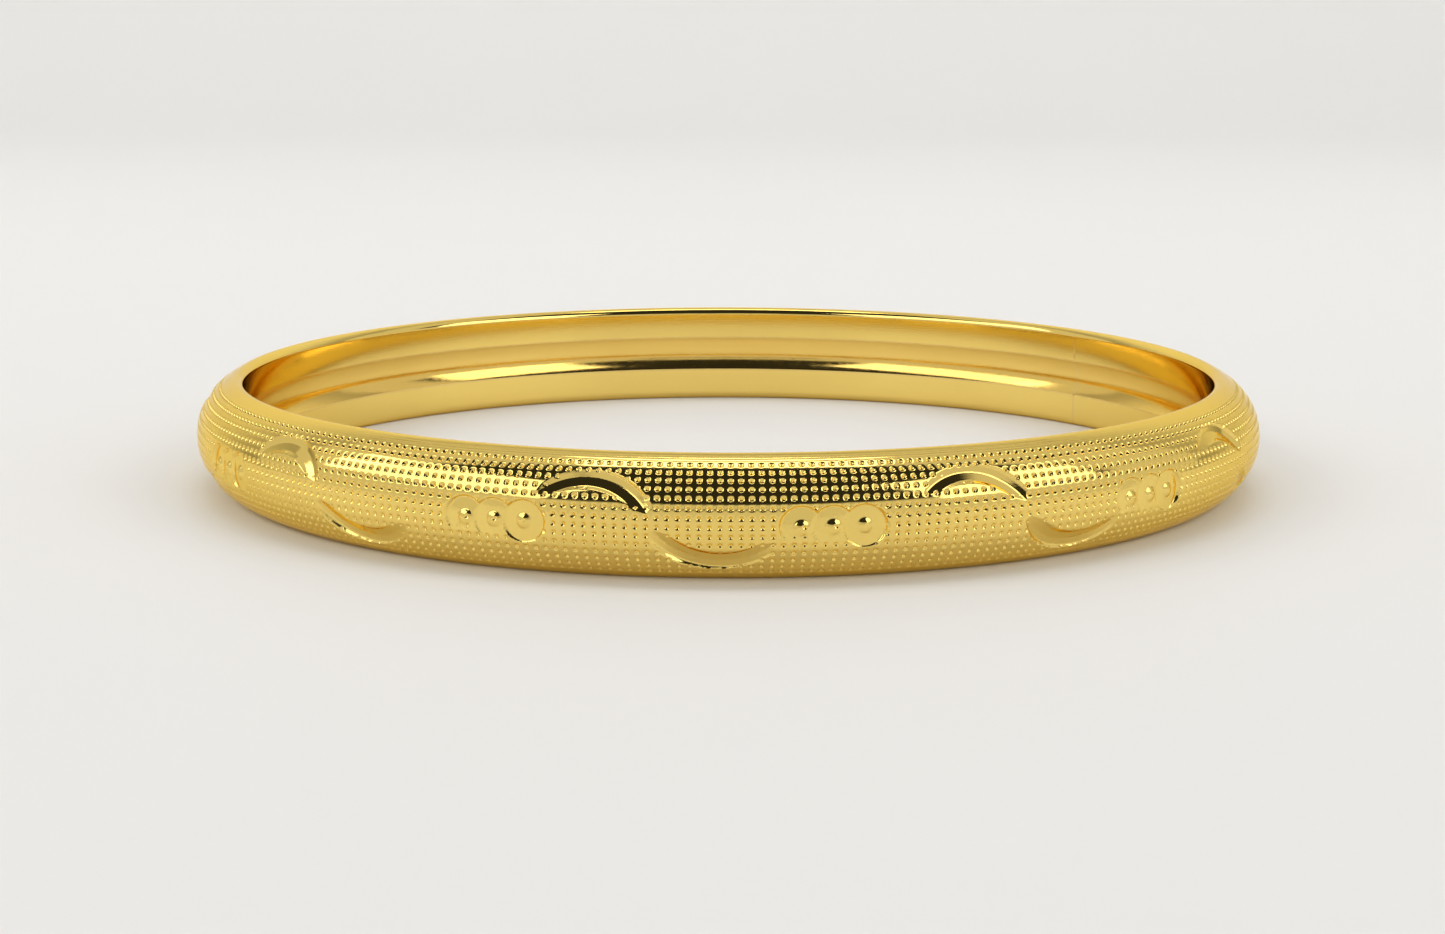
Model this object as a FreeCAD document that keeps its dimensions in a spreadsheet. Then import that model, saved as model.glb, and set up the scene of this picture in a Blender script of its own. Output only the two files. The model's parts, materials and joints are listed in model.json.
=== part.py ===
import FreeCAD
import Part
import math
import os
import Sketcher

# Hollow half-round bangle, resting flat. +Z is the ring's axis, the origin the middle of its foot.
# Angles round the ring are counted from the front, the -Y side, and grow towards +X.
# A section's x is the distance from the ring's axis and its y is the height.

DIMENSIONS = [
    # opening and section of the ring
    ("inner_diameter", 60.3),
    ("section_depth", 2.95),
    ("ring_height", 6.7),
    ("lip_radius", 0.5),
    ("lip_wrap", 2.1),
    ("shell_wall", 0.4),
    ("liner_wall", 0.35),
    ("dish_depth", 0.38),
    ("seam_height", 0.1),
    # closing joint at the back
    ("joint_angle", 127.0),
    ("joint_gap_angle", 0.35),
    ("tongue_arc_angle", 16.0),
    ("tongue_clearance", 0.05),
    # crescents: a tilted disc cutter with a two-flank edge, stepped round the ring
    ("motif_count", 10.0),
    ("upper_angle", -10.3),
    ("lower_angle", -3.7),
    ("crescent_radius", 3.9),
    ("crescent_shift", 3.74),
    ("crescent_elevation", 30.7),
    ("crescent_lean", 26.0),
    ("crescent_cut_depth", 0.25),
    ("crescent_outer_flank_angle", 45.0),
    ("crescent_inner_flank_angle", 20.0),
    # eyelets: rows of three ring cuts, each with an island left in the middle
    ("eyelet_angle", 9.4),
    ("eyelet_radius", 0.82),
    ("eyelet_land", 0.12),
    ("eyelet_island_radius", 0.4),
    ("eyelet_cut_depth", 0.2),
    ("cutter_rise", 0.9),
]

# Sizes that follow from the driving dimensions, as expressions on the sheet.
OPENING = "(dims.inner_diameter / 2)"
CROWN = "(dims.inner_diameter / 2 + dims.section_depth)"
MIDDLE = "(dims.ring_height / 2)"
DOME = (
    "(((dims.section_depth - dims.lip_radius)^2 + (dims.ring_height / 2 - dims.lip_radius)^2"
    " - dims.lip_radius^2) / (2 * (dims.section_depth - 2 * dims.lip_radius)))"
)
DOME_CENTRE = f"({CROWN} - {DOME})"
LINER_FOOT = "(dims.lip_wrap + dims.seam_height)"
LINER_HALF = f"({MIDDLE} - {LINER_FOOT})"
DISH = f"(({LINER_HALF}^2 + dims.dish_depth^2) / (2 * dims.dish_depth))"
DISH_CENTRE = f"({OPENING} + dims.dish_depth - {DISH})"
TONGUE_HALF = f"({LINER_HALF} - dims.tongue_clearance)"
EYELET_STEP = f"((2 * dims.eyelet_radius + dims.eyelet_land) / {CROWN} * 180 / pi)"


def make_sheet(doc):
    """Write the driving dimensions into the sheet, one named cell each."""
    sheet = doc.addObject("Spreadsheet::Sheet", "dims")
    for row, (name, number) in enumerate(DIMENSIONS, start=1):
        sheet.set(f"A{row}", name)
        sheet.set(f"B{row}", str(number))
        sheet.setAlias(f"B{row}", name)
    doc.recompute()
    return sheet


class Section:
    """A closed sketch in an upright plane through the ring's axis."""

    def __init__(self, body, name, placement):
        self.sheet = body.Document.getObject("dims")
        self.sketch = body.newObject("Sketcher::SketchObject", name)
        self.sketch.AttachmentSupport = (origin_feature(body, "XZ_Plane"), "")
        self.sketch.MapMode = "FlatFace"
        self.sketch.setExpression("AttachmentOffset", placement)

    def number(self, expression):
        """The present value of an expression on the sheet."""
        return float(self.sheet.evalExpression(expression))

    def line(self, start, end):
        """Add a line between two points given as numbers."""
        segment = Part.LineSegment(FreeCAD.Vector(*start), FreeCAD.Vector(*end))
        return self.sketch.addGeometry(segment, False)

    def arc(self, centre, radius, first, last):
        """Add an arc that runs anticlockwise between two angles in radians."""
        circle = Part.Circle(FreeCAD.Vector(*centre), FreeCAD.Vector(0, 0, 1), radius)
        return self.sketch.addGeometry(Part.ArcOfCircle(circle, first, last), False)

    def fix(self, kind, *where):
        """Add a constraint that has no size."""
        self.sketch.addConstraint(Sketcher.Constraint(kind, *where))

    def size(self, kind, where, expression):
        """Add a constraint whose size is an expression on the sheet."""
        constraint = Sketcher.Constraint(kind, *where, self.number(expression))
        index = self.sketch.addConstraint(constraint)
        self.sketch.setExpression(f"Constraints[{index}]", expression)

    def across(self, point, expression):
        """Hold a point's distance from the sketch's vertical axis."""
        self.size("DistanceX", (-1, 1, *point), expression)

    def height(self, point, expression):
        """Hold a point's height above the sketch's horizontal axis."""
        self.size("DistanceY", (-1, 1, *point), expression)


def origin_feature(body, role):
    """One of the body's own origin planes or axes."""
    return next(item for item in body.Origin.OriginFeatures if item.Role == role)


def upright_plane(angle):
    """Placement of the plane through the ring's axis at an angle round the ring."""
    return f"placement(vector(0; 0; 0); rotation(0; {angle} - 90; 0))"


def draw_shell_section(section):
    """The domed sheet with its two lips: dome, lips and end faces as one closed line."""
    dome, lip, wall = section.number(DOME), section.number("dims.lip_radius"), section.number("dims.shell_wall")
    opening, tall = section.number(OPENING), section.number("dims.ring_height")
    wrap, middle = section.number("dims.lip_wrap"), section.number(MIDDLE)
    dome_centre = (section.number(DOME_CENTRE), middle, 0)
    top_centre = (opening + lip, tall - lip, 0)
    foot_centre = (opening + lip, lip, 0)
    lean = math.atan2(tall - lip - middle, opening + lip - dome_centre[0])

    outer_dome = section.arc(dome_centre, dome, -lean, lean)
    outer_top = section.arc(top_centre, lip, lean, math.pi)
    front_top = section.line((opening, tall - lip), (opening, tall - wrap))
    end_top = section.line((opening, tall - wrap), (opening + wall, tall - wrap))
    back_top = section.line((opening + wall, tall - wrap), (opening + wall, tall - lip))
    inner_top = section.arc(top_centre, lip - wall, lean, math.pi)
    inner_dome = section.arc(dome_centre, dome - wall, -lean, lean)
    inner_foot = section.arc(foot_centre, lip - wall, math.pi, 2 * math.pi - lean)
    back_foot = section.line((opening + wall, lip), (opening + wall, wrap))
    end_foot = section.line((opening + wall, wrap), (opening, wrap))
    front_foot = section.line((opening, wrap), (opening, lip))
    outer_foot = section.arc(foot_centre, lip, math.pi, 2 * math.pi - lean)

    for first, last in (
        ((outer_dome, 2), (outer_top, 1)),
        ((outer_top, 2), (front_top, 1)),
        ((inner_top, 1), (inner_dome, 2)),
        ((inner_top, 2), (back_top, 2)),
        ((inner_dome, 1), (inner_foot, 2)),
        ((inner_foot, 1), (back_foot, 1)),
        ((outer_foot, 1), (front_foot, 2)),
        ((outer_foot, 2), (outer_dome, 1)),
    ):
        section.fix("Tangent", *first, *last)
    for first, last in (
        ((front_top, 2), (end_top, 1)),
        ((end_top, 2), (back_top, 1)),
        ((back_foot, 2), (end_foot, 1)),
        ((end_foot, 2), (front_foot, 1)),
        ((outer_dome, 3), (inner_dome, 3)),
        ((outer_top, 3), (inner_top, 3)),
        ((outer_foot, 3), (inner_foot, 3)),
    ):
        section.fix("Coincident", *first, *last)
    for upright in (front_top, back_top, back_foot, front_foot):
        section.fix("Vertical", upright)
    for level in (end_top, end_foot):
        section.fix("Horizontal", level)
    section.across((front_top, 1), OPENING)
    section.across((front_foot, 1), OPENING)
    section.height((outer_top, 3), "dims.ring_height - dims.lip_radius")
    section.height((outer_foot, 3), "dims.lip_radius")
    section.size("Radius", (outer_top,), "dims.lip_radius")
    section.size("Radius", (outer_foot,), "dims.lip_radius")
    section.size("Radius", (outer_dome,), DOME)
    section.height((front_top, 2), "dims.ring_height - dims.lip_wrap")
    section.height((front_foot, 1), "dims.lip_wrap")
    section.size("DistanceX", (end_top, 1, end_top, 2), "dims.shell_wall")


def draw_liner_section(section):
    """The dished strip that closes the shell on the inner side."""
    dish, wall = section.number(DISH), section.number("dims.liner_wall")
    middle, half = section.number(MIDDLE), section.number(LINER_HALF)
    centre = (section.number(DISH_CENTRE), middle, 0)
    face_angle = math.asin(half / dish)
    back_angle = math.asin(half / (dish + wall))
    face_edge = centre[0] + dish * math.cos(face_angle)
    back_edge = centre[0] + (dish + wall) * math.cos(back_angle)

    face = section.arc(centre, dish, -face_angle, face_angle)
    back = section.arc(centre, dish + wall, -back_angle, back_angle)
    top = section.line((face_edge, middle + half), (back_edge, middle + half))
    foot = section.line((face_edge, middle - half), (back_edge, middle - half))
    for first, last in (
        ((face, 2), (top, 1)),
        ((top, 2), (back, 2)),
        ((face, 1), (foot, 1)),
        ((foot, 2), (back, 1)),
        ((face, 3), (back, 3)),
    ):
        section.fix("Coincident", *first, *last)
    section.fix("Horizontal", top)
    section.fix("Horizontal", foot)
    section.size("Radius", (face,), DISH)
    section.size("Radius", (back,), f"{DISH} + dims.liner_wall")
    section.height((face, 3), MIDDLE)
    section.across((face, 3), DISH_CENTRE)
    section.height((top, 1), f"dims.ring_height - {LINER_FOOT}")
    section.height((foot, 1), LINER_FOOT)


def draw_seam_section(section, foot):
    """A seam's flat solder fillet, with its lower face at the given height."""
    left, right = section.number(OPENING), section.number(f"{OPENING} + dims.shell_wall")
    low, high = section.number(foot), section.number(f"{foot} + dims.seam_height")
    corners = [(left, low), (right, low), (right, high), (left, high)]
    sides = [section.line(corners[i], corners[(i + 1) % 4]) for i in range(4)]
    for i in range(4):
        section.fix("Coincident", sides[i], 2, sides[(i + 1) % 4], 1)
    for i in (0, 2):
        section.fix("Horizontal", sides[i])
    for i in (1, 3):
        section.fix("Vertical", sides[i])
    section.across((sides[0], 1), OPENING)
    section.height((sides[0], 1), foot)
    section.size("DistanceX", (sides[0], 1, sides[0], 2), "dims.shell_wall")
    section.size("DistanceY", (sides[1], 1, sides[1], 2), "dims.seam_height")


def draw_tongue_section(section):
    """The strip that bridges the closing joint, lying in the hollow between liner and shell."""
    inner = f"({DISH} + dims.liner_wall + dims.tongue_clearance)"
    outer = f"({DOME} - dims.shell_wall - dims.tongue_clearance)"
    inner_radius, outer_radius = section.number(inner), section.number(outer)
    middle, half = section.number(MIDDLE), section.number(TONGUE_HALF)
    inner_centre = (section.number(DISH_CENTRE), middle, 0)
    outer_centre = (section.number(DOME_CENTRE), middle, 0)
    inner_angle, outer_angle = math.asin(half / inner_radius), math.asin(half / outer_radius)
    inner_edge = inner_centre[0] + inner_radius * math.cos(inner_angle)
    outer_edge = outer_centre[0] + outer_radius * math.cos(outer_angle)

    inner_arc = section.arc(inner_centre, inner_radius, -inner_angle, inner_angle)
    outer_arc = section.arc(outer_centre, outer_radius, -outer_angle, outer_angle)
    top = section.line((inner_edge, middle + half), (outer_edge, middle + half))
    foot = section.line((inner_edge, middle - half), (outer_edge, middle - half))
    for first, last in (
        ((inner_arc, 2), (top, 1)),
        ((top, 2), (outer_arc, 2)),
        ((inner_arc, 1), (foot, 1)),
        ((foot, 2), (outer_arc, 1)),
    ):
        section.fix("Coincident", *first, *last)
    section.fix("Horizontal", top)
    section.fix("Horizontal", foot)
    section.size("Radius", (inner_arc,), inner)
    section.size("Radius", (outer_arc,), outer)
    section.across((inner_arc, 3), DISH_CENTRE)
    section.across((outer_arc, 3), DOME_CENTRE)
    section.height((inner_arc, 3), MIDDLE)
    section.height((outer_arc, 3), MIDDLE)
    section.height((top, 1), f"{MIDDLE} + {TONGUE_HALF}")
    section.height((foot, 1), f"{MIDDLE} - {TONGUE_HALF}")


def draw_edge_profile(section, points):
    """A cutter's edge: a closed outline of straight sides through points given as expressions."""
    numbers = [(section.number(along), section.number(away)) for along, away in points]
    count = len(points)
    sides = [section.line(numbers[i], numbers[(i + 1) % count]) for i in range(count)]
    for i in range(count):
        section.fix("Coincident", sides[i], 2, sides[(i + 1) % count], 1)
    for side, (along, away) in zip(sides, points):
        section.across((side, 1), along)
        section.height((side, 1), away)


def turn(body, feature_type, section, angle):
    """Sweep a section evenly to both sides of its plane, about the ring's axis."""
    feature = body.newObject(feature_type, f"{section.sketch.Name}_sweep")
    feature.Profile = section.sketch
    feature.ReferenceAxis = (origin_feature(body, "Z_Axis"), [""])
    feature.Midplane = True
    feature.setExpression("Angle", angle)
    return feature


def cut_round(body, section):
    """Cut a full turn about the section's own horizontal axis, as a spinning cutter does."""
    groove = body.newObject("PartDesign::Groove", f"{section.sketch.Name}_cut")
    groove.Profile = section.sketch
    groove.ReferenceAxis = (section.sketch, ["H_Axis"])
    groove.Angle = 360
    return groove


def make_ring_body(doc, name, draw, plane_angle, sweep_angle):
    """A body swept from one section about the ring's axis."""
    body = doc.addObject("PartDesign::Body", name)
    section = Section(body, f"{name}_section", upright_plane(plane_angle))
    draw(section)
    turn(body, "PartDesign::Revolution", section, sweep_angle)
    return body


def crescent_cut(body, name, angle, side):
    """One crescent. Side is 1 above the middle of the band and -1 below it."""
    tip = "(sqrt({0}^2 - (dims.crescent_radius - dims.crescent_shift)^2) - dims.crescent_cut_depth)".format(DOME)
    outer = "dims.cutter_rise / tan(dims.crescent_outer_flank_angle)"
    inner = "dims.cutter_rise / tan(dims.crescent_inner_flank_angle)"
    place = (
        f"placement(vector({DOME_CENTRE} * sin({angle}); {MIDDLE}; {DOME_CENTRE} * cos({angle}));"
        f" rotation(0; {angle} - 90; 0) * rotation({side} * dims.crescent_elevation; 0; 0)"
        f" * rotation(0; 0; 0 - dims.crescent_lean))"
        f" * placement(vector(0; 0 - {side} * dims.crescent_shift; 0); rotation(0; 0; 0))"
    )
    section = Section(body, name, place)
    points = [
        (tip, "dims.crescent_radius"),
        (f"{tip} + dims.cutter_rise", f"dims.crescent_radius + {outer}"),
        (f"{tip} + dims.cutter_rise", f"dims.crescent_radius - {inner}"),
    ]
    draw_edge_profile(section, points)
    return cut_round(body, section)


def eyelet_cut(body, name, angle):
    """One ring cut on the middle of the band, leaving its island."""
    depth = f"({CROWN} - dims.eyelet_cut_depth)"
    top = f"({CROWN} - dims.eyelet_cut_depth + dims.cutter_rise)"
    place = f"placement(vector(0; {MIDDLE}; 0); rotation(0; {angle} - 90; 0))"
    section = Section(body, name, place)
    points = [
        (depth, "dims.eyelet_island_radius"),
        (depth, "dims.eyelet_radius"),
        (top, "dims.eyelet_radius"),
        (top, "dims.eyelet_island_radius"),
    ]
    draw_edge_profile(section, points)
    return cut_round(body, section)


def step_round(body, cut):
    """Repeat one cut at even steps round the ring."""
    body.Document.recompute()
    pattern = body.newObject("PartDesign::PolarPattern", f"{cut.Name}_pattern")
    pattern.Originals = [cut]
    pattern.Axis = (origin_feature(body, "Z_Axis"), [""])
    pattern.Angle = 360
    pattern.setExpression("Occurrences", "dims.motif_count")
    body.Tip = pattern
    body.Document.recompute()


def make_shell(doc, open_side, sweep):
    """The domed outer shell, with its cut pattern stepped round the ring."""
    body = make_ring_body(doc, "outer_shell", draw_shell_section, open_side, sweep)
    doc.recompute()
    step_round(body, crescent_cut(body, "upper_crescent", "dims.upper_angle", 1))
    step_round(body, crescent_cut(body, "lower_crescent", "dims.lower_angle", -1))
    for place in (-1, 0, 1):
        angle = f"(dims.eyelet_angle + ({place}) * {EYELET_STEP})"
        step_round(body, eyelet_cut(body, f"eyelet_{place + 2}", angle))
    return body


def make_closing_joint(doc, sweep):
    """The solder that fills the butt joint, as thick as the shell, seams and liner it joins."""
    body = doc.addObject("PartDesign::Body", "closing_joint")
    draws = (
        ("joint_shell", draw_shell_section),
        ("joint_top_seam", draw_top_seam),
        ("joint_liner", draw_liner_section),
        ("joint_foot_seam", draw_foot_seam),
    )
    for name, draw in draws:
        section = Section(body, name, upright_plane("dims.joint_angle"))
        draw(section)
        turn(body, "PartDesign::Revolution", section, sweep)
    return body


def draw_top_seam(section):
    draw_seam_section(section, "(dims.ring_height - dims.lip_wrap - dims.seam_height)")


def draw_foot_seam(section):
    draw_seam_section(section, "dims.lip_wrap")


def make_bangle():
    """Build every sub-part and return the document and its bodies."""
    doc = FreeCAD.newDocument("bangle")
    make_sheet(doc)
    far_side = "(dims.joint_angle + 180)"
    open_sweep = "360 - dims.joint_gap_angle"
    bodies = [
        make_shell(doc, far_side, open_sweep),
        make_ring_body(doc, "inner_liner", draw_liner_section, far_side, open_sweep),
        make_ring_body(doc, "top_seam", draw_top_seam, far_side, open_sweep),
        make_ring_body(doc, "foot_seam", draw_foot_seam, far_side, open_sweep),
        make_closing_joint(doc, "dims.joint_gap_angle"),
        make_ring_body(doc, "joint_tongue", draw_tongue_section, "dims.joint_angle", "dims.tongue_arc_angle"),
    ]
    doc.recompute()
    return doc, bodies


def check_and_export(doc, bodies):
    """Stop on any failed object, then write one STEP file for each body."""
    for item in doc.Objects:
        if "Invalid" in item.State or "Error" in item.State:
            raise RuntimeError(f"{item.Name} failed: {item.State}")
    for body in bodies:
        if body.Shape.isNull() or not body.Shape.isValid():
            raise RuntimeError(f"{body.Label} has no valid shape")
    os.makedirs("parts", exist_ok=True)
    for body in bodies:
        body.Shape.exportStep(f"parts/{body.Label}.step")
        print(body.Label, "solids", len(body.Shape.Solids), "volume", round(body.Shape.Volume, 2))


document, ring_bodies = make_bangle()
check_and_export(document, ring_bodies)
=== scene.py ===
import json
import math

import bpy
import numpy as np
from mathutils import Matrix, Vector


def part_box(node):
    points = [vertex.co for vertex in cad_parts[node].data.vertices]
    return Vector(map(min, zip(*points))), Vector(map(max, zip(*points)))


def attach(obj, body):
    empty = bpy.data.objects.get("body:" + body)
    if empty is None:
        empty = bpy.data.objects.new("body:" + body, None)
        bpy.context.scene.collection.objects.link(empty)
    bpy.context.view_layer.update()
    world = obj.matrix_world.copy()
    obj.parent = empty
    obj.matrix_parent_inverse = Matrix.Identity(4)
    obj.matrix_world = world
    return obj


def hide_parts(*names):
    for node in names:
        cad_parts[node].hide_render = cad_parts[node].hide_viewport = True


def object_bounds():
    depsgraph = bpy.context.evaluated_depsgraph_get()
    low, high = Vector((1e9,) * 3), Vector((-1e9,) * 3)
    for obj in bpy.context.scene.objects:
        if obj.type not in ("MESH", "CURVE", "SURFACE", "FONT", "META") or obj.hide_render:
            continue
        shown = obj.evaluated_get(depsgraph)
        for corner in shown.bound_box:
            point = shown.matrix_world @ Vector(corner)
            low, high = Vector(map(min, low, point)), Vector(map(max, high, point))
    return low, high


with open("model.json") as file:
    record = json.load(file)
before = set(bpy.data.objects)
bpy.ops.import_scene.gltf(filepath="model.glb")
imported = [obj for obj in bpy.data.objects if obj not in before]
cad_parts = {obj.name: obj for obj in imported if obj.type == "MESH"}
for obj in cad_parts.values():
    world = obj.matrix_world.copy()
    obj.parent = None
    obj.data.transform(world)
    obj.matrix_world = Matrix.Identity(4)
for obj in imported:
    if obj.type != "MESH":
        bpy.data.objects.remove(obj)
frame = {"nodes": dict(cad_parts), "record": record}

# Half-round gold bangle on a pale table. Section sizes are in millimetres and become metres when a
# mesh is made. Angles round the ring are counted from the front, the -Y side, and grow towards +X.

MM = 0.001
cad_low, cad_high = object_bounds()


def top_of(node):
    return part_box(node)[1].z / MM


def foot_of(node):
    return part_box(node)[0].z / MM


# ---- sizes taken from the frame -----------------------------------------------------------------

HEIGHT = top_of("outer_shell")
CROWN = (cad_high.x - cad_low.x) / 2 / MM
OPENING = next(m for m in frame["record"]["mounts"] if m["name"] == "hand_opening")["dims"]["r_mm"]
DEPTH = CROWN - OPENING
MIDDLE = HEIGHT / 2
LINER_TOP = top_of("inner_liner")
SEAM_TOP = top_of("top_seam")
SEAM_HEIGHT = SEAM_TOP - foot_of("top_seam")

# ---- sheets, lips and joint, as in the CAD ------------------------------------------------------

LIP = 0.5
SHELL_WALL = 0.4
LINER_WALL = 0.35
DISH_DEPTH = 0.38
JOINT_ANGLE = 127.0
JOINT_GAP = 0.35

DOME = ((DEPTH - LIP) ** 2 + (MIDDLE - LIP) ** 2 - LIP**2) / (2 * (DEPTH - 2 * LIP))
DOME_CENTRE = CROWN - DOME
DOME_HALF = math.degrees(math.atan2(MIDDLE - LIP, OPENING + LIP - DOME_CENTRE))
LINER_HALF = LINER_TOP - MIDDLE
DISH = (LINER_HALF**2 + DISH_DEPTH**2) / (2 * DISH_DEPTH)
DISH_CENTRE = OPENING + DISH_DEPTH - DISH

# ---- dimples, pressed in a square grid. FIRST_COLUMN is a share of the column pitch -------------

COLUMNS = 375
FIRST_COLUMN = 0.26
ROWS = 14
ROW_PITCH = 8.1
ROW_CENTRE = 0.95
DIMPLE_REACH = 0.175
DIMPLE_DEPTH = 0.142
DIMPLE_SQUARENESS = 3.0
SAMPLES = 10
ROW_SAMPLES = 12

# ---- fine turned lines on the shoulders ---------------------------------------------------------

LINE_ANGLES = (58.6, 61.6, 64.6)
LINE_WIDTH = 1.1
LINE_DEPTH = 0.012

# ---- crescents: a tilted disc cutter with an outer flank, a steep rim, and two inner slopes -----

MOTIFS = 10
UPPER_ANGLE = -10.3
LOWER_ANGLE = -3.7
CUT_RADIUS = 3.9
CUT_SHIFT = 3.74
CUT_ELEVATION = 30.7
CUT_LEAN = 26.0
UPPER_DEPTH = 0.31
LOWER_DEPTH = 0.37
UPPER_FLANK = 18.0
LOWER_FLANK = 11.0
OUTER_WIDTH = 0.38
RIM_FLANK = 60.0
INNER_FLANK = 12.0
INNER_WIDTH = 0.5
SCOOP_FLANK = 35.0

# ---- eyelets: three ring cuts in a row, each round a domed pip ----------------------------------

EYELET_ANGLE = 9.6
EYELET_DRIFT = (1.45, 2.6)
EYELET_PITCH = 2.95
EYELET_RADIUS = 1.1
EYELET_FLANK = 56.0
EYELET_FALL = 0.06
EYELET_HEIGHT = -4.0
EYELET_TILTS = (4.0, 2.0, -1.0)
EYELET_DEPTHS = (0.15, 0.18, 0.25)
PIP_RADIUS = 0.44
PIP_RISE = 0.16

# No cut reaches further than this many degrees along the ring from its own middle.
CUT_REACH = 9.0

# ---- mesh fineness ------------------------------------------------------------------------------

LIP_POINTS = 20
LINING_STRIDE = 3
RING_STEPS = 721
SHARP_EDGE = 58.0


def on_dome(theta, phi):
    """Points of the plain dome, from angles round the ring and round the section."""
    reach = DOME_CENTRE + DOME * np.cos(phi)
    return np.stack(
        [reach * np.sin(theta), -reach * np.cos(theta), MIDDLE + DOME * np.sin(phi)], axis=-1
    )


def dome_normal(theta, phi):
    return np.stack(
        [np.cos(phi) * np.sin(theta), -np.cos(phi) * np.cos(theta), np.sin(phi)], axis=-1
    )


def dimple_depth(theta, phi):
    """Depth of the pressed grid: rounded square pits with flat land between them."""
    column = np.degrees(theta) * COLUMNS / 360 - FIRST_COLUMN
    across = (column - np.round(column)) * 2 * math.pi / COLUMNS * (DOME_CENTRE + DOME * np.cos(phi))
    row = (np.degrees(phi) - ROW_CENTRE) / ROW_PITCH + (ROWS - 1) / 2
    nearest = np.clip(np.round(row), 0, ROWS - 1)
    along = (row - nearest) * math.radians(ROW_PITCH) * DOME
    away = (np.abs(across) ** DIMPLE_SQUARENESS + np.abs(along) ** DIMPLE_SQUARENESS) ** (
        1 / DIMPLE_SQUARENESS
    )
    share = np.clip(away / DIMPLE_REACH, 0, 1)
    return DIMPLE_DEPTH * 0.5 * (1 + np.cos(math.pi * share))


def line_depth(phi):
    """Fine turned lines on both shoulders, beyond the last dimples."""
    across = np.abs(np.degrees(phi))
    return sum(LINE_DEPTH * np.exp(-(((across - at) / (LINE_WIDTH / 2)) ** 2)) for at in LINE_ANGLES)


def cutter_frame(angle, elevation, lean):
    """Foot of the cutter's axis, the axis and the upward direction, for one that faces the dome."""
    theta, tilt, roll = np.radians([angle, elevation, lean])
    outward = np.array([math.sin(theta), -math.cos(theta), 0])
    sideways = np.array([math.cos(theta), math.sin(theta), 0])
    up = np.array([0.0, 0.0, 1.0])
    axis = math.cos(tilt) * outward + math.sin(tilt) * up
    rise = math.cos(tilt) * up - math.sin(tilt) * outward
    rise = math.cos(roll) * rise + math.sin(roll) * sideways
    return DOME_CENTRE * outward + MIDDLE * up, axis, rise


def cut_to(points, centre, axis, height_at):
    """Push points that stand above a turned cutter's profile down onto it, along its axis."""
    offset = points - centre
    along = offset @ axis
    radius = np.linalg.norm(offset - along[..., None] * axis, axis=-1)
    drop = np.maximum(along - height_at(radius), 0)
    return points - drop[..., None] * axis


def crescent(points, angle, side):
    """One crescent: an outer flank with a steep rim, a broad inner one, then a steeper edge."""
    centre, axis, rise = cutter_frame(angle, side * CUT_ELEVATION, CUT_LEAN)
    centre = centre - side * CUT_SHIFT * rise
    depth, flank = (UPPER_DEPTH, UPPER_FLANK) if side > 0 else (LOWER_DEPTH, LOWER_FLANK)
    tip = math.sqrt(DOME**2 - (CUT_RADIUS - CUT_SHIFT) ** 2) - depth
    outer, rim, inner, scoop = (
        math.tan(math.radians(a)) for a in (flank, RIM_FLANK, INNER_FLANK, SCOOP_FLANK)
    )

    def height_at(radius):
        beyond = radius - CUT_RADIUS
        outside = np.clip(beyond, 0, OUTER_WIDTH) * outer + np.clip(beyond - OUTER_WIDTH, 0, None) * rim
        inside = np.clip(-beyond, 0, INNER_WIDTH) * inner + np.clip(-beyond - INNER_WIDTH, 0, None) * scoop
        return tip + outside + inside

    return cut_to(points, centre, axis, height_at)


def eyelet(points, angle, tilt, depth):
    """One ring cut round a domed pip. The cutter meets the dome there at its own small tilt."""
    _, axis, _ = cutter_frame(angle, tilt, 0)
    centre = on_dome(math.radians(angle), math.radians(EYELET_HEIGHT)) - depth * axis
    flank = math.tan(math.radians(EYELET_FLANK))

    def height_at(radius):
        pip = PIP_RISE * np.clip(1 - (radius / PIP_RADIUS) ** 2, 0, None)
        fall = EYELET_FALL * np.clip(radius / EYELET_RADIUS, 0, 1) ** 2
        return pip - fall + np.clip(radius - EYELET_RADIUS, 0, None) * flank

    return cut_to(points, centre, axis, height_at)


def drift(turn):
    """The eyelets were set by eye, so each group stands a little off its even place."""
    even, swing = EYELET_DRIFT
    third = math.radians(3 * turn)
    return even * (1 - math.cos(third)) - swing * math.sin(third)


def cut_list():
    """Every cut in order: (angle round the ring, function that cuts the points near it)."""
    cuts = []
    for motif in range(MOTIFS):
        turn = motif * 360 / MOTIFS
        upper, lower = UPPER_ANGLE + turn, LOWER_ANGLE + turn
        cuts.append((upper, lambda p, a=upper: crescent(p, a, 1)))
        cuts.append((lower, lambda p, a=lower: crescent(p, a, -1)))
        for place in (-1, 0, 1):
            middle = EYELET_ANGLE + turn + drift(turn) + place * EYELET_PITCH
            tilt, depth = EYELET_TILTS[place + 1], EYELET_DEPTHS[place + 1]
            cuts.append((middle, lambda p, a=middle, t=tilt, d=depth: eyelet(p, a, t, d)))
    return cuts


def cut_dome(theta, phi):
    """The dome with its dimples and all its cuts, as points."""
    sunk = dimple_depth(theta, phi) + line_depth(phi)
    points = on_dome(theta, phi) - sunk[..., None] * dome_normal(theta, phi)
    around = np.degrees(theta[:, 0])
    for angle, cut in cut_list():
        near = np.abs((around - angle + 180) % 360 - 180) < CUT_REACH
        points[near] = cut(points[near])
    return points


# ---- meshes -----------------------------------------------------------------------------------


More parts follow.
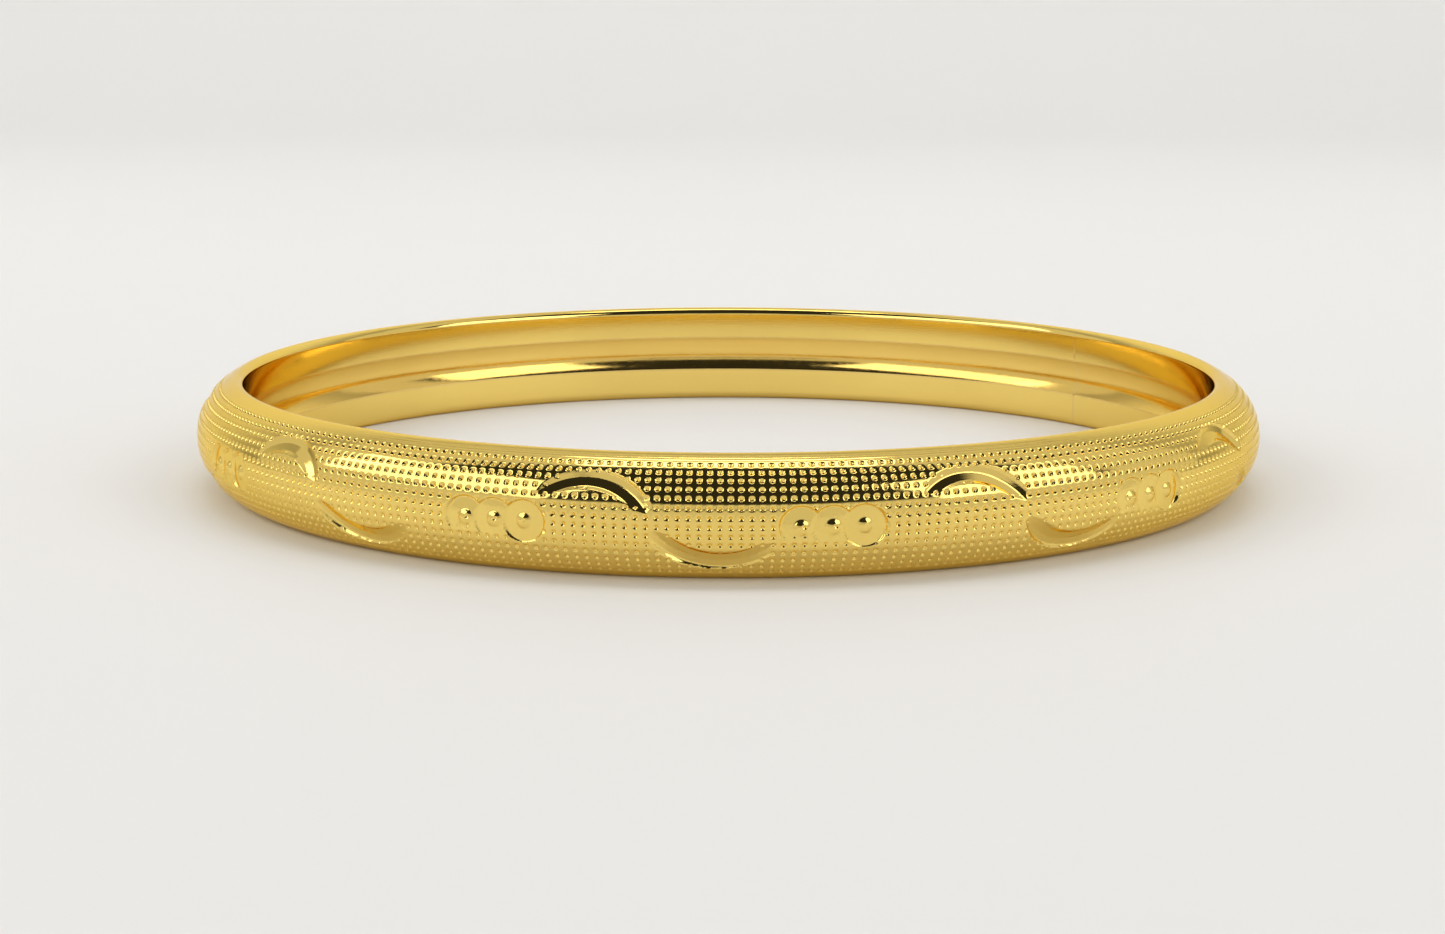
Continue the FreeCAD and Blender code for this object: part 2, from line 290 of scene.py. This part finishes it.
def mesh_object(name, points, faces):
    """A smooth-shaded object from points in millimetres."""
    mesh = bpy.data.meshes.new(name)
    points = np.asarray(points, dtype=np.float32).reshape(-1, 3) * MM
    mesh.vertices.add(len(points))
    mesh.vertices.foreach_set("co", points.ravel())
    corners = np.concatenate([np.ravel(f) for f in faces]).astype(np.int32)
    counts = np.concatenate([np.full(len(f), f.shape[1]) for f in faces])
    starts = np.concatenate([[0], np.cumsum(counts)[:-1]]).astype(np.int32)
    mesh.loops.add(len(corners))
    mesh.loops.foreach_set("vertex_index", corners)
    mesh.polygons.add(len(counts))
    mesh.polygons.foreach_set("loop_start", starts)
    mesh.polygons.foreach_set("loop_total", counts.astype(np.int32))
    mesh.polygons.foreach_set("use_smooth", np.ones(len(counts), dtype=bool))
    mesh.update(calc_edges=True)
    mesh.validate()
    mesh.set_sharp_from_angle(angle=math.radians(SHARP_EDGE))
    item = bpy.data.objects.new(name, mesh)
    bpy.context.scene.collection.objects.link(item)
    return item


def strips(low, high):
    """Quads between two equal rows of point numbers."""
    return np.stack([low[:-1], low[1:], high[1:], high[:-1]], axis=-1).reshape(-1, 4)


def grid_faces(rows, columns, first=0):
    """Quads over a grid of points stored row after row."""
    index = first + np.arange(rows * columns).reshape(rows, columns)
    return np.concatenate([strips(index[i], index[i + 1]) for i in range(rows - 1)])


def arc(centre, radius, start, end, count):
    """Section points on an arc, angles in degrees."""
    angles = np.radians(np.linspace(start, end, count))
    return np.stack([centre[0] + radius * np.cos(angles), centre[1] + radius * np.sin(angles)], -1)


def turned(section, theta):
    """Section points carried round the ring: one row of points for each angle."""
    reach, level = section[:, 0], section[:, 1]
    return np.stack(
        [
            np.outer(np.sin(theta), reach),
            -np.outer(np.cos(theta), reach),
            np.broadcast_to(level, (len(theta), len(level))),
        ],
        axis=-1,
    )


def swept_solid(name, section, theta):
    """A closed solid swept from a closed section, capped at both ends."""
    rows, count = len(theta), len(section)
    points = turned(section, theta)
    index = np.arange(rows * count).reshape(rows, count)
    index = np.concatenate([index, index[:, :1]], axis=1)
    sides = np.concatenate([strips(index[i], index[i + 1]) for i in range(rows - 1)])
    caps = [index[:1, :-1][:, ::-1], index[-1:, :-1]]
    return mesh_object(name, points, [sides] + caps)


def outer_contour(dome_count, lip_count):
    """Outer skin of the shell, from the upper inner edge over the dome to the lower inner edge."""
    top, foot = (OPENING + LIP, HEIGHT - LIP), (OPENING + LIP, LIP)
    wrap = HEIGHT - SEAM_TOP
    lip = arc(top, LIP, 180, DOME_HALF, lip_count)
    dome = arc((DOME_CENTRE, MIDDLE), DOME, DOME_HALF, -DOME_HALF, dome_count)
    under = arc(foot, LIP, -DOME_HALF, -180, lip_count)
    return np.concatenate([[(OPENING, HEIGHT - wrap)], lip[:-1], dome, under[1:], [(OPENING, wrap)]])


def inner_contour(dome_count, lip_count):
    """Inner skin of the shell, in the same order."""
    top, foot = (OPENING + LIP, HEIGHT - LIP), (OPENING + LIP, LIP)
    wrap, back = HEIGHT - SEAM_TOP, OPENING + SHELL_WALL
    lip = arc(top, LIP - SHELL_WALL, 180, DOME_HALF, lip_count)
    dome = arc((DOME_CENTRE, MIDDLE), DOME - SHELL_WALL, DOME_HALF, -DOME_HALF, dome_count)
    under = arc(foot, LIP - SHELL_WALL, -DOME_HALF, -180, lip_count)
    return np.concatenate([[(back, HEIGHT - wrap)], lip[:-1], dome, under[1:], [(back, wrap)]])


def ring_angles(count):
    """Angles right round the ring, apart from the closing joint."""
    gap = math.radians(JOINT_GAP / 2)
    start = math.radians(JOINT_ANGLE)
    return np.linspace(start + gap, start + 2 * math.pi - gap, count)


def make_shell():
    """The dimpled and cut dome with its lips, and a coarser lining that closes the sheet."""
    theta = ring_angles(COLUMNS * SAMPLES + 1)
    dome_count = int(2 * DOME_HALF / ROW_PITCH * ROW_SAMPLES) + 1
    skin = turned(outer_contour(dome_count, LIP_POINTS), theta)
    phi = np.radians(np.linspace(DOME_HALF, -DOME_HALF, dome_count))
    grid_theta, grid_phi = np.meshgrid(theta, phi, indexing="ij")
    skin[:, LIP_POINTS : LIP_POINTS + dome_count] = cut_dome(grid_theta, grid_phi)

    stride = SAMPLES * LINING_STRIDE
    lining = turned(inner_contour(31, 5), theta[::stride])
    rows, count = skin.shape[:2]
    lining_rows, lining_count = lining.shape[:2]
    outer = np.arange(rows * count).reshape(rows, count)
    inner = rows * count + np.arange(lining_rows * lining_count).reshape(lining_rows, lining_count)
    faces = [grid_faces(rows, count)[:, ::-1], grid_faces(lining_rows, lining_count, rows * count)]
    for edge, flip in ((0, True), (-1, False)):
        fine, far = outer[:, edge], inner[:, edge]
        rim = np.array(
            [
                np.concatenate([fine[i * stride : (i + 1) * stride + 1], far[i : i + 2][::-1]])
                for i in range(lining_rows - 1)
            ]
        )
        faces.append(rim[:, ::-1] if flip else rim)
    for end, flip in ((0, False), (-1, True)):
        cap = np.concatenate([outer[end], inner[end][::-1]])[None, :]
        faces.append(cap[:, ::-1] if flip else cap)
    points = np.concatenate([skin.reshape(-1, 3), lining.reshape(-1, 3)])
    return mesh_object("patterned_shell", points, faces)


def liner_section():
    face_angle = math.degrees(math.asin(LINER_HALF / DISH))
    back_angle = math.degrees(math.asin(LINER_HALF / (DISH + LINER_WALL)))
    centre = (DISH_CENTRE, MIDDLE)
    face = arc(centre, DISH, -face_angle, face_angle, 61)
    back = arc(centre, DISH + LINER_WALL, back_angle, -back_angle, 13)
    return np.concatenate([face, back])


def make_liner():
    return swept_solid("polished_liner", liner_section(), ring_angles(RING_STEPS))


def make_seam(name, foot):
    far = OPENING + SHELL_WALL
    section = np.array(
        [(OPENING, foot), (OPENING, foot + SEAM_HEIGHT), (far, foot + SEAM_HEIGHT), (far, foot)]
    )
    return swept_solid(name, section, ring_angles(RING_STEPS))


def make_joint():
    """The closing joint: a thin slice of the whole tube wall, hollow in the middle."""
    outside = outer_contour(61, 12)
    face_angle = math.degrees(math.asin(LINER_HALF / DISH))
    dish = arc((DISH_CENTRE, MIDDLE), DISH, -face_angle, face_angle, 31)
    outside = np.concatenate([outside, dish])
    inside = inner_contour(61, 12)
    back_angle = math.degrees(math.asin(LINER_HALF / (DISH + LINER_WALL)))
    back = arc((DISH_CENTRE, MIDDLE), DISH + LINER_WALL, -back_angle, back_angle, 31)
    inside = np.concatenate([inside, back])
    half = math.radians(JOINT_GAP / 2)
    theta = math.radians(JOINT_ANGLE) + np.linspace(-half, half, 3)
    rows, count = len(theta), len(outside)
    index = np.arange(rows * count).reshape(rows, count)
    index = np.concatenate([index, index[:, :1]], axis=1)
    shift = rows * count
    faces = []
    for i in range(rows - 1):
        faces.append(strips(index[i], index[i + 1])[:, ::-1])
        faces.append(strips(index[i], index[i + 1]) + shift)
    faces.append(strips(index[0], index[0] + shift))
    faces.append(strips(index[-1], index[-1] + shift)[:, ::-1])
    points = np.concatenate([turned(outside, theta).reshape(-1, 3), turned(inside, theta).reshape(-1, 3)])
    return mesh_object("soldered_joint", points, faces)


# ---- materials --------------------------------------------------------------------------------


def gold(name, colour, worn, roughness, grain, scratch):
    """Polished gold plate. The tone drifts from worn to colour, the gloss between two roughnesses,
    and fine scratches, grain metres deep, lie along the ring."""
    material = bpy.data.materials.new(name)
    material.use_nodes = True
    nodes, links = material.node_tree.nodes, material.node_tree.links
    shader = nodes["Principled BSDF"]
    shader.inputs["Metallic"].default_value = 1.0
    shader.inputs["Specular Tint"].default_value = (1.0, 0.86, 0.5, 1)
    place = nodes.new("ShaderNodeTexCoord")

    cloud = nodes.new("ShaderNodeTexNoise")
    cloud.inputs["Scale"].default_value = 140.0
    cloud.inputs["Detail"].default_value = 5.0
    links.new(place.outputs["Object"], cloud.inputs["Vector"])
    tone = nodes.new("ShaderNodeValToRGB")
    tone.color_ramp.elements[0].position = 0.3
    tone.color_ramp.elements[0].color = (*worn, 1)
    tone.color_ramp.elements[1].position = 0.7
    tone.color_ramp.elements[1].color = (*colour, 1)
    links.new(cloud.outputs["Fac"], tone.inputs["Fac"])
    links.new(tone.outputs["Color"], shader.inputs["Base Color"])

    fine = nodes.new("ShaderNodeTexNoise")
    fine.inputs["Scale"].default_value = 2600.0
    fine.inputs["Detail"].default_value = 3.0
    links.new(place.outputs["Object"], fine.inputs["Vector"])
    gloss = nodes.new("ShaderNodeMapRange")
    gloss.inputs["From Min"].default_value = 0.35
    gloss.inputs["From Max"].default_value = 0.7
    gloss.inputs["To Min"].default_value = roughness[0]
    gloss.inputs["To Max"].default_value = roughness[1]
    links.new(fine.outputs["Fac"], gloss.inputs["Value"])
    links.new(gloss.outputs["Result"], shader.inputs["Roughness"])

    stretch = nodes.new("ShaderNodeMapping")
    stretch.inputs["Scale"].default_value = (1.0, 1.0, 14.0)
    links.new(place.outputs["Object"], stretch.inputs["Vector"])
    lines = nodes.new("ShaderNodeTexNoise")
    lines.inputs["Scale"].default_value = scratch
    lines.inputs["Detail"].default_value = 4.0
    lines.inputs["Roughness"].default_value = 0.7
    links.new(stretch.outputs["Vector"], lines.inputs["Vector"])
    bump = nodes.new("ShaderNodeBump")
    bump.inputs["Strength"].default_value = 1.0
    bump.inputs["Distance"].default_value = grain
    links.new(lines.outputs["Fac"], bump.inputs["Height"])
    links.new(bump.outputs["Normal"], shader.inputs["Normal"])
    return material


def matt(name, colour, roughness):
    """Plain card for the table: barely mottled."""
    material = bpy.data.materials.new(name)
    material.use_nodes = True
    nodes, links = material.node_tree.nodes, material.node_tree.links
    shader = nodes["Principled BSDF"]
    shader.inputs["Roughness"].default_value = roughness
    shader.inputs["Specular IOR Level"].default_value = 0.3
    place = nodes.new("ShaderNodeTexCoord")
    cloud = nodes.new("ShaderNodeTexNoise")
    cloud.inputs["Scale"].default_value = 30.0
    links.new(place.outputs["Object"], cloud.inputs["Vector"])
    tone = nodes.new("ShaderNodeValToRGB")
    tone.color_ramp.elements[0].color = (*[c * 0.985 for c in colour], 1)
    tone.color_ramp.elements[1].color = (*colour, 1)
    links.new(cloud.outputs["Fac"], tone.inputs["Fac"])
    links.new(tone.outputs["Color"], shader.inputs["Base Color"])
    return material


def place_piece(piece, node, material):
    """Ride on the frame, stand for the CAD node and wear the material."""
    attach(piece, "root")
    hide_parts(node)
    piece.data.materials.clear()
    piece.data.materials.append(material)


# ---- table, light and camera --------------------------------------------------------------------

CEILING_EDGE = math.sin(math.radians(21))
RAIL_HEIGHTS = (0.20, 0.245)
ROOM_PALE = 0.7
ROOM_DIM = 0.028


def make_table():
    """A pale table that runs up into a backdrop behind the ring."""
    half, back, rise, bend = 1.2, 0.55, 0.95, 0.22
    section = [(-1.2, 0.0)]
    for step in range(13):
        turn = math.radians(step * 90 / 12)
        section.append((back - bend + bend * math.sin(turn), bend - bend * math.cos(turn)))
    section.append((back, rise))
    points = [(x, y, z) for y, z in section for x in (-half, half)]
    faces = np.array([(2 * i, 2 * i + 1, 2 * i + 3, 2 * i + 2) for i in range(len(section) - 1)])
    table = mesh_object("table", np.array(points) / MM, [faces])
    table.data.materials.append(matt("pale_card", (0.86, 0.85, 0.83), 0.55))
    return table


def soft_light(name, azimuth, elevation, distance, size, power, target=(0.0, 0.0, 0.0)):
    """A rectangular soft light that faces its target. Azimuth is counted like the ring's angles."""
    data = bpy.data.lights.new(name, "AREA")
    data.shape = "RECTANGLE"
    data.size, data.size_y = size
    data.energy = power
    light = bpy.data.objects.new(name, data)
    around, up = math.radians(azimuth), math.radians(elevation)
    direction = Vector((math.sin(around) * math.cos(up), -math.cos(around) * math.cos(up), math.sin(up)))
    light.location = Vector(target) + direction * distance
    light.rotation_euler = direction.to_track_quat("Z", "Y").to_euler()
    bpy.context.scene.collection.objects.link(light)
    return light


def make_world():
    """A pale room, with a dim ceiling and a thin dark rail in front of the ring."""
    world = bpy.data.worlds.new("room")
    world.use_nodes = True
    nodes, links = world.node_tree.nodes, world.node_tree.links
    place = nodes.new("ShaderNodeTexCoord")
    split = nodes.new("ShaderNodeSeparateXYZ")
    links.new(place.outputs["Generated"], split.inputs["Vector"])

    def step(source, start, end):
        """A soft step from 0 to 1 between two values."""
        node = nodes.new("ShaderNodeMapRange")
        node.interpolation_type = "SMOOTHSTEP"
        node.inputs["From Min"].default_value = start
        node.inputs["From Max"].default_value = end
        links.new(source, node.inputs["Value"])
        return node.outputs["Result"]

    def join(kind, *values):
        """A maths node fed by other nodes' values or by plain numbers."""
        node = nodes.new("ShaderNodeMath")
        node.operation = kind
        for socket, value in zip(node.inputs, values):
            if isinstance(value, float):
                socket.default_value = value
            else:
                links.new(value, socket)
        return node.outputs["Value"]

    height, back = split.outputs["Z"], split.outputs["Y"]
    low = step(height, CEILING_EDGE + 0.02, CEILING_EDGE - 0.02)
    behind = step(back, -0.03, 0.05)
    rail_foot, rail_top = RAIL_HEIGHTS
    above = step(height, rail_foot, rail_foot + 0.01)
    below = step(height, rail_top, rail_top - 0.01)
    rail = join("MULTIPLY", join("MULTIPLY", above, below), step(back, -0.86, -0.92))
    clear = join("SUBTRACT", 1.0, rail)
    pale = join("MAXIMUM", join("MULTIPLY", low, clear), behind)
    strength = join("MULTIPLY_ADD", pale, ROOM_PALE - ROOM_DIM, ROOM_DIM)
    shade = nodes["Background"]
    shade.inputs["Color"].default_value = (1.0, 0.98, 0.95, 1)
    links.new(strength, shade.inputs["Strength"])
    bpy.context.scene.world = world


def make_camera():
    data = bpy.data.cameras.new("camera")
    data.lens = 69.9
    data.sensor_width = 36.0
    data.clip_start = 0.01
    data.dof.use_dof = False
    camera = bpy.data.objects.new("camera", data)
    turn = Matrix.Rotation(math.radians(0.117), 4, "Z")
    pitch = Matrix.Rotation(math.radians(90 - 10.38), 4, "X")
    roll = Matrix.Rotation(math.radians(0.085), 4, "Z")
    camera.matrix_world = Matrix.Translation((0, -0.1754, 0.03245)) @ turn @ pitch @ roll
    bpy.context.scene.collection.objects.link(camera)
    bpy.context.scene.camera = camera


shell_gold = gold("cut_gold", (0.93, 0.69, 0.19), (0.90, 0.66, 0.18), (0.05, 0.09), 0.0000012, 900.0)
liner_gold = gold("liner_gold", (0.92, 0.64, 0.17), (0.88, 0.60, 0.15), (0.10, 0.17), 0.000004, 500.0)
solder_gold = gold("solder_gold", (0.90, 0.66, 0.22), (0.84, 0.60, 0.20), (0.12, 0.22), 0.000004, 700.0)

place_piece(make_shell(), "outer_shell", shell_gold)
place_piece(make_liner(), "inner_liner", liner_gold)
place_piece(make_seam("upper_solder", foot_of("top_seam")), "top_seam", solder_gold)
place_piece(make_seam("lower_solder", foot_of("foot_seam")), "foot_seam", solder_gold)
place_piece(make_joint(), "closing_joint", solder_gold)
tongue = frame["nodes"]["joint_tongue"]
tongue.material_slots[0].material = gold(
    "plain_brass", (0.72, 0.52, 0.22), (0.62, 0.44, 0.18), (0.3, 0.5), 0.000006, 400.0
)

# The plain transform keeps the gold as saturated as it is in the photo.
bpy.context.scene.view_settings.view_transform = "Standard"
make_table()
make_world()
soft_light("left_box", -67, 36, 0.7, (0.7, 0.33), 1.4)
soft_light("right_box", 64, 34, 0.7, (0.48, 0.38), 1.15)
soft_light("top_box", 180, 84.5, 0.7, (0.42, 0.15), 0.5)
fill = soft_light("table_fill", 0, 28, 0.7, (0.9, 0.4), 1.15)
fill.visible_glossy = False
wash = soft_light("backdrop_wash", 0, 40, 0.5, (1.2, 0.3), 1.4, target=(0.0, 0.5, 0.12))
wash.visible_glossy = False
make_camera()
